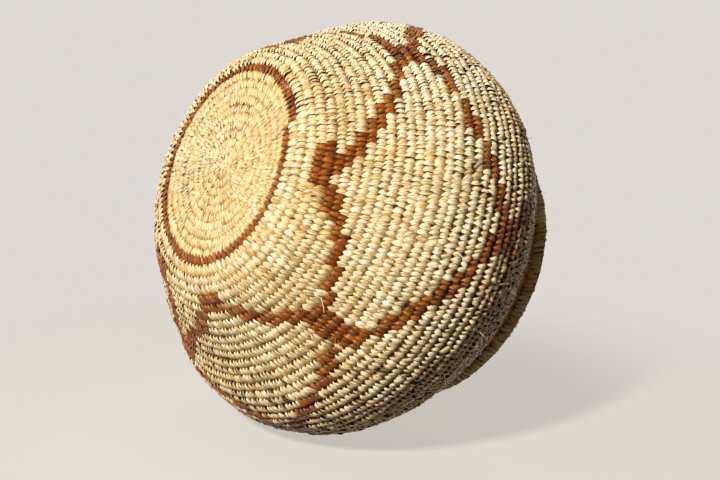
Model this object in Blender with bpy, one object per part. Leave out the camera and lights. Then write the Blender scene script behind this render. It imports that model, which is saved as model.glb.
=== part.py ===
"""Coiled basket.

One wound bundle makes the whole wall. It starts at a small knot in the middle of the base, runs
out over the flat base, up the lower flank, round the belly, in over the shoulder to a narrow neck
and out to a flared rim. Each turn of the bundle is a course, and each course is a piece of its own.
Metres, +Z up, origin in the middle of the base on the surface that the basket stands on.
"""

import math

import bmesh
import bpy
from mathutils import Vector

# Sizes of the wall, taken at the middle of its thickness
BASE_FLAT_RADIUS = 0.0455       # the base is flat out to here
BASE_CORNER_RADIUS = 0.0275     # curve from the base up into the flank
FLANK_ANGLE = 49.0              # slope of the straight lower flank, degrees from level
BELLY_RADIUS = 0.1060           # widest part
BELLY_CURVE_RADIUS = 0.0460     # curve of the belly, seen from the side
SHOULDER_START_ANGLE = 126.0    # slope where the belly curve ends, degrees
SHOULDER_END_ANGLE = 145.0      # slope where the shoulder meets the neck, degrees
NECK_RADIUS = 0.0685            # narrowest part, in the groove under the rim
NECK_CURVE_RADIUS = 0.0040      # curve of the groove
RIM_FLARE_ANGLE = 47.0          # slope of the rim, degrees from level
RIM_FLARE_LENGTH = 0.0105       # straight part of the rim above the groove

# Sizes of the coil
COURSE_COUNT = 52               # turns after the start knot, the last one a part turn
COIL_THICKNESS = 0.0050         # through the wall
COIL_EDGE_THICKNESS = 0.0026    # where one course lies against the next
COURSE_GAP = 0.0003             # left between two courses
WORN_FLAT_DEPTH = 0.0005        # taken off the underside of the base courses
WORN_FLAT_WIDTH = 0.0016        # width of the flat under a base course
RIM_END_SHARE = 0.62            # how much of the last turn there is
RIM_TAPER_LENGTH = 0.0450       # last stretch of the bundle, thinned down to end it
RIM_TIP_SHARE = 0.35            # height of the thinned end against a full course

# How far the hand-made shape is from round
BELLY_DRIFT = 0.0054            # sideways, belly against base and mouth
BELLY_DRIFT_HEIGHT = 0.0780     # height at which that is greatest
RIM_DRIFT = 0.0046              # sideways, mouth against base
BASE_OVAL = 0.034               # share of the radius, at the base ring
BELLY_OVAL = 0.034              # share of the radius, from the belly up
OVAL_BLEND_LENGTH = 0.0400      # radius over which the one goes over into the other

# Layout of the turns
SEAM_ANGLE = 158.75             # where each turn starts, degrees from +X towards +Y
POINTS_PER_TURN = 24
BASE_RING_COURSE = 11           # the brown ring round the base
LAST_FLANK_COURSE = 25          # top of the straight lower flank
LAST_BELLY_COURSE = 40          # top of the round belly
NECK_BAND_COURSE = 50           # the brown course in the groove of the neck

# Colours, linear, and finish
PALE_SPLINT = (0.76, 0.58, 0.32)
CREAM_SPLINT = (0.83, 0.66, 0.39)
BROWN_SPLINT = (0.26, 0.085, 0.030)
SPLINT_ROUGHNESS = 0.62

HALF_THICKNESS = COIL_THICKNESS / 2
HALF_EDGE = COIL_EDGE_THICKNESS / 2
HALF_GAP = COURSE_GAP / 2


def wall_runs():
    """The wall in profile: a chain of (length, slope at its start, slope at its end)."""
    flank, start, end, flare = (math.radians(angle) for angle in (
        FLANK_ANGLE, SHOULDER_START_ANGLE, SHOULDER_END_ANGLE, RIM_FLARE_ANGLE))
    flank_foot = BASE_FLAT_RADIUS + BASE_CORNER_RADIUS * math.sin(flank)
    flank_top = BELLY_RADIUS - BELLY_CURVE_RADIUS * (1 - math.sin(flank))
    shoulder_foot = BELLY_RADIUS - BELLY_CURVE_RADIUS * (1 - math.sin(start))
    shoulder_top = NECK_RADIUS + NECK_CURVE_RADIUS * (1 - math.sin(end))
    shoulder_curve = (shoulder_foot - shoulder_top) / (math.sin(start) - math.sin(end))
    return [
        (BASE_FLAT_RADIUS, 0.0, 0.0),
        (BASE_CORNER_RADIUS * flank, 0.0, flank),
        ((flank_top - flank_foot) / math.cos(flank), flank, flank),
        (BELLY_CURVE_RADIUS * (start - flank), flank, start),
        (shoulder_curve * (end - start), start, end),
        (NECK_CURVE_RADIUS * (end - flare), end, flare),
        (RIM_FLARE_LENGTH, flare, flare),
    ]


RUNS = wall_runs()
WALL_LENGTH = sum(length for length, _, _ in RUNS)
PITCH = WALL_LENGTH / (COURSE_COUNT + 1.5)


def wall_at(distance):
    """Radius, height and slope of the middle of the wall, this far along it from the centre."""
    radius, height, left = 0.0, HALF_THICKNESS - WORN_FLAT_DEPTH, distance
    for index, (length, slope, end_slope) in enumerate(RUNS):
        last = index == len(RUNS) - 1
        step = left if last else min(left, length)
        if slope == end_slope:
            radius += step * math.cos(slope)
            height += step * math.sin(slope)
            here = slope
        else:
            curve = length / (end_slope - slope)
            here = slope + step / curve
            radius += curve * (math.sin(here) - math.sin(slope))
            height += curve * (math.cos(slope) - math.cos(here))
        left -= step
        if left <= 0:
            break
    return radius, height, here


def wall_point(distance, outward, angle):
    """A point on or near the wall. Outward is measured square to the wall, to its outer side."""
    radius, height, slope = wall_at(distance)
    radius += outward * math.sin(slope)
    height = max(0.0, height - outward * math.cos(slope))
    rise = height / BELLY_DRIFT_HEIGHT
    drift_x = -RIM_DRIFT * (height / rim_height()) ** 2
    drift_y = -BELLY_DRIFT * rise * (2 - rise)
    share = min(1.0, max(0.0, (radius - BASE_FLAT_RADIUS) / OVAL_BLEND_LENGTH))
    oval = (1 - share) * BASE_OVAL * math.sin(2 * angle) + share * BELLY_OVAL * math.cos(2 * angle)
    radius *= 1 + oval
    return Vector((drift_x + radius * math.cos(angle), drift_y + radius * math.sin(angle), height))


def rim_height():
    return wall_at(WALL_LENGTH)[1]


def turn_angle(share):
    """Angle at this share of a turn, counted from the seam."""
    return math.radians(SEAM_ANGLE) + 2 * math.pi * share


def turn_shares(radius, end_share):
    """The points along one turn, as shares of it, drawn in at both ends by half the gap."""
    inset = HALF_GAP / (2 * math.pi * radius)
    count = math.ceil(end_share * POINTS_PER_TURN)
    middle = [index / POINTS_PER_TURN for index in range(1, count)]
    return [inset] + middle + [end_share - inset]


def skin_sections(name, sections, closed):
    """A closed solid through a row of sections that all have the same number of points."""
    mesh = bpy.data.meshes.new(name)
    bm = bmesh.new()
    rings = [[bm.verts.new(point) for point in section] for section in sections]
    count = len(rings[0])
    pairs = list(zip(rings, rings[1:]))
    if closed:
        pairs.append((rings[-1], rings[0]))
    else:
        bm.faces.new(rings[0])
        bm.faces.new(list(reversed(rings[-1])))
    for ring, following in pairs:
        for index in range(count):
            beside = (index + 1) % count
            bm.faces.new((ring[index], following[index], following[beside], ring[beside]))
    bmesh.ops.recalc_face_normals(bm, faces=bm.faces)
    bm.to_mesh(mesh)
    bm.free()
    return mesh


def coil_section(middle, angle, height_share, thickness_share, flat_under):
    """The outline of the bundle where it is cut across, at one place along a course."""
    low = middle - PITCH / 2 + HALF_GAP
    high = low + (PITCH - COURSE_GAP) * height_share
    centre = (low + high) / 2
    edge, full = HALF_EDGE * thickness_share, HALF_THICKNESS * thickness_share
    if flat_under:
        crest = [(centre - WORN_FLAT_WIDTH / 2, full), (centre + WORN_FLAT_WIDTH / 2, full)]
    else:
        crest = [(centre, full)]
    outline = [(low, edge)] + crest + [(high, edge), (high, -edge), (centre, -full), (low, -edge)]
    return [wall_point(distance, outward, angle) for distance, outward in outline]


def course_mesh(name, number):
    """One turn of the coil. The last one thins down and ends on the turn below it."""
    last = number == COURSE_COUNT
    end_share = RIM_END_SHARE if last else 1.0
    flat_under = number <= BASE_RING_COURSE
    radius = max(wall_at(number * PITCH)[0], PITCH)
    taper_share = RIM_TAPER_LENGTH / (2 * math.pi * NECK_RADIUS)
    sections = []
    for share in turn_shares(radius, end_share):
        left = min(1.0, (end_share - share) / taper_share) if last else 1.0
        height_share = RIM_TIP_SHARE + (1 - RIM_TIP_SHARE) * left
        thickness_share = (1 + height_share) / 2
        sections.append(coil_section((number + share) * PITCH, turn_angle(share),
                                     height_share, thickness_share, flat_under))
    return skin_sections(name, sections, closed=False)


def knot_mesh(name):
    """The start of the coil, wound on itself: its edge follows the inside of the first turn."""
    sections = []
    shares = [index / POINTS_PER_TURN for index in range(POINTS_PER_TURN)]
    shares.append(1 - COURSE_GAP / (2 * math.pi * PITCH))
    for share in shares:
        angle = turn_angle(share)
        edge = (0.5 + share) * PITCH - HALF_GAP
        foot = edge - (HALF_THICKNESS - HALF_EDGE)
        sections.append([wall_point(edge, -HALF_EDGE, angle), wall_point(edge, HALF_EDGE, angle),
                         wall_point(foot, HALF_THICKNESS, angle)])
    mesh = bpy.data.meshes.new(name)
    bm = bmesh.new()
    top = bm.verts.new(wall_point(0.0, -HALF_THICKNESS, 0.0))
    bottom = bm.verts.new(wall_point(0.0, HALF_THICKNESS, 0.0))
    rings = [[bm.verts.new(point) for point in section] for section in sections]
    for ring, following in zip(rings, rings[1:] + rings[:1]):
        bm.faces.new((top, ring[0], following[0]))
        bm.faces.new((ring[0], ring[1], following[1], following[0]))
        bm.faces.new((ring[1], ring[2], following[2], following[1]))
        bm.faces.new((ring[2], bottom, following[2]))
    bmesh.ops.recalc_face_normals(bm, faces=bm.faces)
    bm.to_mesh(mesh)
    bm.free()
    return mesh


def course_name(number):
    """What a course is called: by where it lies in the wall."""
    if number < BASE_RING_COURSE:
        place = "base"
    elif number == BASE_RING_COURSE:
        place = "base_ring"
    elif number <= LAST_FLANK_COURSE:
        place = "flank"
    elif number <= LAST_BELLY_COURSE:
        place = "belly"
    elif number < NECK_BAND_COURSE:
        place = "shoulder"
    elif number == NECK_BAND_COURSE:
        place = "neck"
    else:
        place = "rim"
    return f"{place}_course_{number:02d}"


def course_colour(number):
    if number in (BASE_RING_COURSE, NECK_BAND_COURSE):
        return BROWN_SPLINT
    return CREAM_SPLINT if number < BASE_RING_COURSE else PALE_SPLINT


def add_piece(name, mesh, colour):
    """Puts a solid in the scene with a dry plant-fibre material of its own."""
    material = bpy.data.materials.new(name)
    material.use_nodes = True
    shader = material.node_tree.nodes["Principled BSDF"]
    shader.inputs["Base Color"].default_value = (*colour, 1.0)
    shader.inputs["Roughness"].default_value = SPLINT_ROUGHNESS
    shader.inputs["Metallic"].default_value = 0.0
    material.diffuse_color = (*colour, 1.0)
    mesh.materials.append(material)
    mesh.shade_smooth()
    mesh.set_sharp_from_angle(angle=math.radians(50))
    piece = bpy.data.objects.new(name, mesh)
    bpy.context.collection.objects.link(piece)
    return piece


def main():
    for old in list(bpy.data.objects):
        bpy.data.objects.remove(old, do_unlink=True)
    add_piece("start_knot", knot_mesh("start_knot"), CREAM_SPLINT)
    for number in range(1, COURSE_COUNT + 1):
        name = course_name(number)
        add_piece(name, course_mesh(name, number), course_colour(number))
    print(f"course pitch {PITCH * 1000:.2f} mm, wall {WALL_LENGTH * 1000:.1f} mm, "
          f"rim height {rim_height() * 1000:.1f} mm")


main()
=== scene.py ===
import math
import random

import bpy
import numpy as np
from bpy.props import FloatProperty, FloatVectorProperty, IntProperty, PointerProperty
from mathutils import Matrix, Vector


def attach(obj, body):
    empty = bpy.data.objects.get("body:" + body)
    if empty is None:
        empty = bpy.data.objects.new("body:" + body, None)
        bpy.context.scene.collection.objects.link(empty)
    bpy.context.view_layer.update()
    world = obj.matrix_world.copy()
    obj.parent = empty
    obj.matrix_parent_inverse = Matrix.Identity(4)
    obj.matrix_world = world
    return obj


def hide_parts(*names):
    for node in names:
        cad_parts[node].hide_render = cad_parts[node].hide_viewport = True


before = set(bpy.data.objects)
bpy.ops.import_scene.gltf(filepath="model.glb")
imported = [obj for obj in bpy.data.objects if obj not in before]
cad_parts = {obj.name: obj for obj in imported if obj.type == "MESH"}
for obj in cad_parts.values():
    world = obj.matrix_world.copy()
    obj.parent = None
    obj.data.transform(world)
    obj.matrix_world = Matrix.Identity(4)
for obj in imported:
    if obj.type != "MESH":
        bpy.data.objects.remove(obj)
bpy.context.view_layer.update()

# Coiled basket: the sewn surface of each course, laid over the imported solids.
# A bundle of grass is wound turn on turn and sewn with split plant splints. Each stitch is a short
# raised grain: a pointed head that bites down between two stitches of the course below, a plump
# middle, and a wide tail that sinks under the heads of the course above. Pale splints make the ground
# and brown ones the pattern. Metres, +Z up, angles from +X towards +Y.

bl_info = {
    "name": "Coiled Basket",
    "version": (1, 0, 0),
    "blender": (4, 5, 0),
    "location": "View3D > Sidebar > Basket",
    "description": "Sews the courses of a coiled basket, stitch by stitch, and sets a plain stage",
    "category": "Add Mesh",
}

# Sizes of the wall, at the middle of its thickness
BASE_FLAT_RADIUS = 0.0455       # the base is flat out to here
BASE_CORNER_RADIUS = 0.0275     # curve from the base up into the flank
FLANK_ANGLE = 49.0              # slope of the straight lower flank, degrees from level
BELLY_RADIUS = 0.1060           # widest part
BELLY_CURVE_RADIUS = 0.0460     # curve of the belly, seen from the side
SHOULDER_START_ANGLE = 126.0    # slope where the belly curve ends, degrees
SHOULDER_END_ANGLE = 145.0      # slope where the shoulder meets the neck, degrees
NECK_RADIUS = 0.0685            # narrowest part, in the groove under the rim
NECK_CURVE_RADIUS = 0.0040      # curve of the groove
RIM_FLARE_ANGLE = 47.0          # slope of the rim, degrees from level
RIM_FLARE_LENGTH = 0.0105       # straight part of the rim above the groove

# Sizes of the coil
COURSE_COUNT = 52               # turns after the start knot, the last one a part turn
COIL_THICKNESS = 0.0050         # through the wall, stitches and all
WORN_FLAT_DEPTH = 0.0005        # taken off the underside of the base courses
RIM_END_SHARE = 0.62            # how much of the last turn there is
RIM_TAPER_LENGTH = 0.0450       # last stretch of the bundle, thinned down to end it
RIM_TIP_SHARE = 0.35            # height of the thinned end against a full course

# How far the hand-made shape is from round
BELLY_DRIFT = 0.0054            # sideways, belly against base and mouth
BELLY_DRIFT_HEIGHT = 0.0780     # height at which that is greatest
RIM_DRIFT = 0.0046              # sideways, mouth against base
BASE_OVAL = 0.034               # share of the radius, at the base ring
BELLY_OVAL = 0.034              # share of the radius, from the belly up
OVAL_BLEND_LENGTH = 0.0400      # radius over which the one goes over into the other
# Waves of the bundle along the wall: height, waves in a turn, start in radians
WANDER_WAVES = ((0.00022, 2.71, 1.0), (0.00017, 6.37, 4.0), (0.00010, 13.9, 2.0))
# Lumps of the wall, square to it: height, lumps in a turn, radians that they shift from turn to turn
SWELL_WAVES = ((0.00028, 3, 0.45), (0.00022, 7, -0.8), (0.00016, 13, 1.7), (0.00014, 5, 3.9))
CALM_TURNS = 6                  # turns over which the waves and the lumps grow to their full height

SEAM_ANGLE = 158.75             # where each turn starts, degrees
BASE_RING_COURSE = 11           # the brown ring round the base
NECK_BAND_COURSE = 50           # the brown course in the groove of the neck

# The pattern. Four blocks stand on the flank: angle, half width in degrees, first and last course
BLOCKS = ((86.0, 9.0, 15, 16), (178.7, 8.8, 15, 16), (261.8, 7.8, 15, 16), (310.0, 9.5, 14, 17))
# Its lines step from course to course: (turn, degrees) places along the middle of each. Two arms
# leave every block, meet the arms beside them, go on to a crossing above the blocks and then up
# to the neck.
LINES = (
    ((17.0, 95), (20.0, 91), (22.0, 92), (23.0, 97), (24.0, 108), (24.8, 119), (25.5, 128), (26.6, 130)),
    ((17.0, 177), (19.0, 168.5), (21.0, 156.5), (23.0, 146), (24.0, 137.5), (25.0, 132), (26.9, 130)),
    ((17.0, 190), (18.1, 191.5), (19.1, 196.5), (20.1, 203), (21.1, 212), (23.2, 223), (25.3, 223.5)),
    ((17.0, 251), (18.2, 245), (19.2, 239.5), (20.2, 234), (21.2, 229), (22.2, 225), (25.3, 223.5)),
    ((17.0, 271), (18.3, 275.5), (19.3, 278), (20.3, 284), (21.3, 289.5), (23.4, 296), (26.4, 301)),
    ((17.0, 304), (26.4, 304)),
    ((17.0, 318), (26.4, 395)),
    ((17.0, 438), (26.4, 395)),
    ((26.6, 130), (28.9, 118), (29.9, 116), (33.8, 100), (36.8, 90), (50.0, 35)),
    ((26.6, 130), (27.9, 137.5), (29.0, 143), (30.0, 154), (31.0, 157), (32.0, 164.5), (33.0, 166.5),
     (34.0, 173.5), (35.1, 178), (37.5, 183), (39.1, 196), (42.0, 205), (50.0, 223)),
    ((25.3, 222.5), (27.2, 220), (28.2, 213), (29.1, 208.5), (31.1, 200), (32.1, 197), (33.1, 192.5),
     (34.1, 186), (36.5, 181), (38.0, 174.5), (40.0, 171), (44.0, 153), (50.0, 136)),
    ((25.3, 224.5), (26.2, 230), (27.2, 233), (28.2, 237.5), (29.2, 245), (31.3, 256), (32.3, 259),
     (34.3, 264), (36.3, 268), (37.3, 274), (38.3, 276), (40.3, 284.5), (42.4, 289), (50.0, 303)),
    ((26.4, 302), (29.3, 276), (31.3, 269.5), (34.3, 270), (36.3, 266), (37.3, 265), (50.0, 228)),
    ((26.4, 304), (36.5, 346), (50.0, 392)),
    ((26.4, 395), (36.5, 346), (50.0, 308)),
    ((26.4, 395), (36.8, 450), (42.8, 457), (45.8, 461), (50.0, 470)),
)
# Half the width of a line's run in one course: (turn, degrees)
RUN_HALF_WIDTHS = ((17.0, 4.5), (20.8, 4.2), (22.5, 3.7), (25.3, 3.8), (27.0, 3.7), (30.0, 3.5),
                   (50.0, 3.0))
RUN_OVERLAP = 0.6               # how far the runs of a slanting line reach past each other, degrees

# How uneven the sewing is
CHANCE_SEED = 11                # of every random draw
CLOSE_SIDE = 355.0              # side on which the stitches beside the ring are closest, degrees
CLOSE_SHARE = 0.05              # how much wider for their room they are all round the ring
CLOSE_SWING = 0.11              # how much wider still on that side, and narrower on the other
PAINTED_SHADE_SIDE = 290.0               # side on which the splints are drawn darker and more golden, as painted shade, degrees
PAINTED_SHADE_TONE = 0.30                # how much darker they are there, on a scale of tone from 0 to 1
# Rough places in the sewing: turn, degrees, reach
WORN_SPOTS = ((23.6, 212.0, 0.0032), (15.4, 190.5, 0.0050), (31.6, 171.0, 0.0060))
WORN_LOOSENESS = 1.6            # how much looser the stitches lie in the middle of such a place
WORN_TONE = 0.5                 # and how much darker
# What changes on the way from the middle of the base to the rim, in rows of (turn, value): how
# loosely the stitches lie, their width against their room, how much paler the splints are drawn (the
# shoulder darker, as painted shade), how far the painted shade on one side shows, how near the
# ring is, and how much paler the grass is drawn
LOOSENESS = ((0, 2.1), (2, 1.5), (5, 1.0), (10, 0.9), (12, 0.6), (22, 0.6), (28, 1.0), (52, 1.0))
FILLED_ROOM = ((0, 1.4), (2, 1.3), (4, 1.14), (9, 1.08), (12, 1.0), (26, 1.02), (34, 1.10), (52, 1.08))
PALENESS = ((10, 0.0), (12, -0.10), (16, -0.06), (24, 0.18), (32, 0.20), (38, -0.24))
PAINTED_SHADE_GROWTH = ((14, 0.0), (24, 1.0))
NEARNESS_TO_RING = ((9, 0.0), (12, 1.0), (15, 1.0), (20, 0.0))
PALER_GRASS = ((10.0, 0.65), (13.0, 0.45), (17.0, 0.0))
# How far single stitches stray from the rule: lowest and highest, or the spread about the middle
WIDTH_RANGE = (0.92, 1.10)      # width of each half of a stitch, as a share
LENGTH_RANGE = (-0.10, 0.12)    # length, as a share that is added
SLANT_SPREAD = 0.11             # radians
SHIFT_SPREAD = 0.045            # along the wall, as a share of the course pitch
LIFT_SPREAD = 0.055             # height off the middle of the wall, as a share
ROLL_SPREAD = 0.00032           # one edge up and the other down
SKIN_SPREAD = 0.00010           # each point in or out
EDGE_SPREAD = 0.00007           # each point sideways
SPLIT_MIDDLE, SPLIT_SPREAD = 0.35, 0.45     # how deep the furrow in a tail is, from 0 to 1
TONE_MIDDLE, TONE_SPREAD = 0.62, 0.16       # how pale a splint is, from 0 to 1

# How the hand places the stitches along the coil
FIRST_STITCH = 0.30             # turn at which the sewing starts
FREE_TURNS = 1.35               # up to here there is no course below to sew into
ROOM_RANGE = (0.86, 1.14)       # room that one stitch takes, as a share of the usual
GAP_REACH = (0.60, 1.40)        # nearest and furthest gap that the next one takes, in usual rooms
GAP_HOLD = 0.70                 # how closely it keeps to that gap
MOST_ROOM = 1.45                # widest room that one stitch fills, as a share of the usual
END_REACH = 0.003               # a stitch this near to the end of the coil, in turns, is the last

# How a stitch lies over the bundle, from end to end: place along it as a share of the course pitch,
# height off the middle of the wall as a share of the half thickness, and width as a share of the
# room it has. The head comes first: it is narrow and stands proud of the course below. The tail is
# wide, meets its neighbours and sinks in.
OUTER_STITCH = ((-0.73, 0.42, 0.14), (-0.64, 0.88, 0.49), (-0.48, 1.13, 0.77), (-0.25, 1.20, 0.96),
                (-0.01, 1.09, 1.08), (0.22, 0.83, 1.12), (0.44, 0.53, 1.08), (0.69, 0.24, 0.84))
FLANK_STITCH = ((-0.72, 0.40, 0.13), (-0.63, 0.86, 0.45), (-0.47, 1.12, 0.72), (-0.25, 1.19, 0.94),
                (0.00, 1.09, 1.06), (0.23, 0.85, 1.10), (0.45, 0.58, 1.06), (0.70, 0.30, 0.84))
BASE_STITCH = ((-0.70, 0.46, 0.22), (-0.61, 0.82, 0.64), (-0.44, 1.03, 0.92), (-0.20, 1.08, 1.04),
               (0.06, 1.05, 1.10), (0.30, 0.93, 1.10), (0.52, 0.72, 1.02), (0.74, 0.44, 0.80))
RING_STITCH = ((-1.00, 0.52, 0.09), (-0.84, 0.86, 0.29), (-0.62, 1.07, 0.53), (-0.34, 1.15, 0.74),
               (-0.04, 1.11, 0.84), (0.25, 0.92, 0.76), (0.51, 0.60, 0.50), (0.74, 0.32, 0.24))
BITE_STITCH = ((-0.84, 0.58, 0.14), (-0.73, 0.94, 0.44), (-0.55, 1.14, 0.71), (-0.30, 1.18, 0.92),
               (-0.03, 1.10, 1.02), (0.23, 0.93, 1.05), (0.45, 0.72, 1.03), (0.70, 0.40, 0.80))
INNER_STITCH = ((0.66, -0.46, 0.50), (0.36, -0.88, 0.90), (0.00, -1.04, 0.96), (-0.36, -0.84, 0.66),
                (-0.70, -0.40, 0.26))
RIM_STITCH = ((-0.74, 0.30, 0.42), (-0.64, 0.76, 0.80), (-0.42, 1.02, 0.96), (-0.10, 1.08, 0.96),
              (0.24, 0.96, 0.94), (0.48, 0.58, 0.92), (0.58, 0.02, 0.92), (0.46, -0.58, 0.92),
              (0.20, -0.96, 0.94), (-0.14, -1.04, 0.94), (-0.46, -0.84, 0.84), (-0.66, -0.44, 0.46))
# The last course that each form is sewn on, from the middle of the base up
STITCH_FORMS = ((BASE_RING_COURSE - 1, BASE_STITCH), (BASE_RING_COURSE, RING_STITCH),
                (BASE_RING_COURSE + 1, BITE_STITCH), (20, FLANK_STITCH), (COURSE_COUNT, OUTER_STITCH))
# Places across a stitch, from edge to edge, outside and inside the basket
ACROSS_OUTSIDE = (-1.0, -0.55, 0.0, 0.55, 1.0)
ACROSS_INSIDE = (-1.0, 0.0, 1.0)
EDGE_DROP = 0.00080             # how far a stitch falls away from its crest to its edge
BROWN_DROP = 1.6                # how much further a brown one does
USUAL_HALF_WIDTH = 0.0012       # half the width of a stitch for which that drop holds
ROUND_PART = 0.93               # how much of a half circle the crown of a stitch takes in
ROUND_SHARE = 0.45              # share of the crown that is round, while the rest slopes like a roof
HEAD_DROP = 1.06                # how much of that drop there is at the head
DROP_EASE = 0.96                # how much of it is gone by the tail
FURROW_DEPTH = 0.00042          # deepest furrow in a tail that was split by the awl
TOUCHING_SHARE = 0.30           # how much of the painted edge shade is lost where pale stitches touch

BUNDLE_SHARE = 0.70             # thickness of the bare bundle against the sewn one
BUNDLE_HALF_HEIGHT = 0.56       # along the wall, as a share of the course pitch
BUNDLE_STEP = 0.0055            # length between the rings of points along the bundle
FEWEST_STEPS = 24               # in one course
BUNDLE_SIDES = (-150, -115, -80, -40, 0, 40, 80, 115, 150, 180, 210)   # places round it, degrees
STRAND_HEIGHT = 0.00007         # how far its strands stand out
BUNDLE_START = 0.12             # turn at which the bundle comes out of the knot
KNOT_RADIUS = 0.85              # of the knot, as a share of the course pitch
KNOT_HALF_HEIGHT = 0.74         # as a share of the half thickness of the wall

# Sizes of the patterns on the finishes, in millimetres
FIBRE_SPACING = 1 / 3.4         # from fibre to fibre across a splint: 3.4 to a millimetre
FIBRE_COARSENESS = 2.0          # they are drawn this much coarser, so that they show in a picture
FIBRE_RUN = 5.0                 # how far along the splint a fibre keeps its shade
STEM_THICKNESS = 0.5            # of the grass in the bundle
STEM_RUN = 50 / 3               # how far along the bundle a stem keeps its shade
STAIN_WIDTH = 1000 / 26         # of the patches where the basket has been handled: 26 to a metre
GRAIN_SHIFT = (40.0, 90.0)      # the most that two stitches' fibres are out of line, across and along
BUNDLE_GRAIN_RADIUS = 2.2       # of the bundle that the stems are drawn round
KNOT_GRAIN_RADIUS = 3.0         # of the knot

# A splint end that has worked loose, each time the least and the most
LOOSE_PLACE = (-0.3, 0.3)       # along the wall from the middle of its course, as a share of the pitch
LOOSE_LENGTH = (0.0022, 0.0062)
LOOSE_LIFT = (0.25, 1.1)        # height of its tip as a share of its length
LOOSE_HEADING = (-0.9, 0.9)     # radians from the way the stitch runs
LOOSE_HALF_WIDTH = 0.00022      # of all of them, at the root

# The finishes, by number. Each splint: name, the setting that holds its usual colour, its palest,
# warm and darkest colours, roughness and IOR. Dry plant fibre has an IOR near 1.5. It is lower here,
# since these worn splints hardly shine in the shade.
CREAM, STRAW, BROWN, GRASS = range(4)
SPLINTS = (
    ("peeled_splint_cream", "cream", "#FDF6DE", "#EFDCAB", "#E2C88F", 0.38, 1.20),
    ("peeled_splint_straw", "straw", "#FEFAEA", "#EFDCAE", "#E0C68E", 0.34, 1.20),
    ("dyed_splint_brown", "brown", "#BA7A33", "#7E490D", "#472506", 0.24, 1.33),
)

HALF_THICKNESS = COIL_THICKNESS / 2
LAST_TURN = COURSE_COUNT + RIM_END_SHARE
PROFILE_STEPS = 300             # in each arc and straight of the wall's profile
PROFILE_OVERRUN = 0.012         # how far the profile goes on past the rim, for points that overhang it


def linear_colour(code):
    """The linear colour of an sRGB hex code."""
    channels = [int(code[place:place + 2], 16) / 255 for place in (1, 3, 5)]
    return tuple(c / 12.92 if c <= 0.04045 else ((c + 0.055) / 1.055) ** 2.4 for c in channels)


# Settings

class BasketSewing(bpy.types.PropertyGroup):
    """Sizes of the sewing"""
    base_spacing: FloatProperty(
        name="Stitch spacing, base", unit="LENGTH", default=0.00175, min=0.0012, max=0.005,
        description="Room for one stitch along a course in the middle of the base")
    ring_spacing: FloatProperty(
        name="Stitch spacing, ring", unit="LENGTH", default=0.0029, min=0.0015, max=0.006,
        description="Room for one stitch along the brown ring and the courses beside it")
    wall_spacing: FloatProperty(
        name="Stitch spacing, wall", unit="LENGTH", default=0.00224, min=0.0015, max=0.006,
        description="Room for one stitch along a course of the wall")
    base_slant: FloatProperty(
        name="Slant, base", subtype="ANGLE", default=math.radians(11), min=0.0, max=1.0,
        description="Lean of the stitches on the base, from square to the course")
    flank_slant: FloatProperty(
        name="Slant, flank", subtype="ANGLE", default=math.radians(17), min=0.0, max=1.0,
        description="Lean of the stitches round the ring and on the lower flank")
    shoulder_slant: FloatProperty(
        name="Slant, shoulder", subtype="ANGLE", default=math.radians(12), min=0.0, max=1.0,
        description="Lean of the stitches above the widest part")
    loose_ends: IntProperty(
        name="Loose ends", default=80, min=0, max=600,
        description="Frayed splint ends that stand off the surface")


class BasketColours(bpy.types.PropertyGroup):
    """Colours of the splints, the bundle and the stage"""
    cream: FloatVectorProperty(
        name="Cream splint", subtype="COLOR", size=3, min=0.0, max=1.0,
        default=linear_colour("#F1E3BA"), description="Peeled splint on the base")
    straw: FloatVectorProperty(
        name="Straw splint", subtype="COLOR", size=3, min=0.0, max=1.0,
        default=linear_colour("#F8ECCB"), description="Peeled splint on the wall")
    brown: FloatVectorProperty(
        name="Brown splint", subtype="COLOR", size=3, min=0.0, max=1.0,
        default=linear_colour("#965809"), description="Dyed splint of the pattern")
    # Drawn darker than the dry grass itself: partly painted shade for the deep gaps between the stitches
    bundle: FloatVectorProperty(
        name="Grass bundle", subtype="COLOR", size=3, min=0.0, max=1.0,
        default=linear_colour("#6E4A20"), description="The grass under the stitches")
    floor: FloatVectorProperty(
        name="Floor", subtype="COLOR", size=3, min=0.0, max=1.0,
        default=linear_colour("#DEDAD3"), description="Plain pale floor and background")


# Shape of the wall

def wall_runs():
    """The wall in profile: a chain of (length, slope at its start, slope at its end)."""
    flank, start, end, flare = (math.radians(angle) for angle in (
        FLANK_ANGLE, SHOULDER_START_ANGLE, SHOULDER_END_ANGLE, RIM_FLARE_ANGLE))
    flank_foot = BASE_FLAT_RADIUS + BASE_CORNER_RADIUS * math.sin(flank)
    flank_top = BELLY_RADIUS - BELLY_CURVE_RADIUS * (1 - math.sin(flank))
    shoulder_foot = BELLY_RADIUS - BELLY_CURVE_RADIUS * (1 - math.sin(start))
    shoulder_top = NECK_RADIUS + NECK_CURVE_RADIUS * (1 - math.sin(end))
    shoulder_curve = (shoulder_foot - shoulder_top) / (math.sin(start) - math.sin(end))
    return [
        (BASE_FLAT_RADIUS, 0.0, 0.0),
        (BASE_CORNER_RADIUS * flank, 0.0, flank),
        ((flank_top - flank_foot) / math.cos(flank), flank, flank),
        (BELLY_CURVE_RADIUS * (start - flank), flank, start),
        (shoulder_curve * (end - start), start, end),
        (NECK_CURVE_RADIUS * (end - flare), end, flare),
        (RIM_FLARE_LENGTH, flare, flare),
    ]


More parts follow.
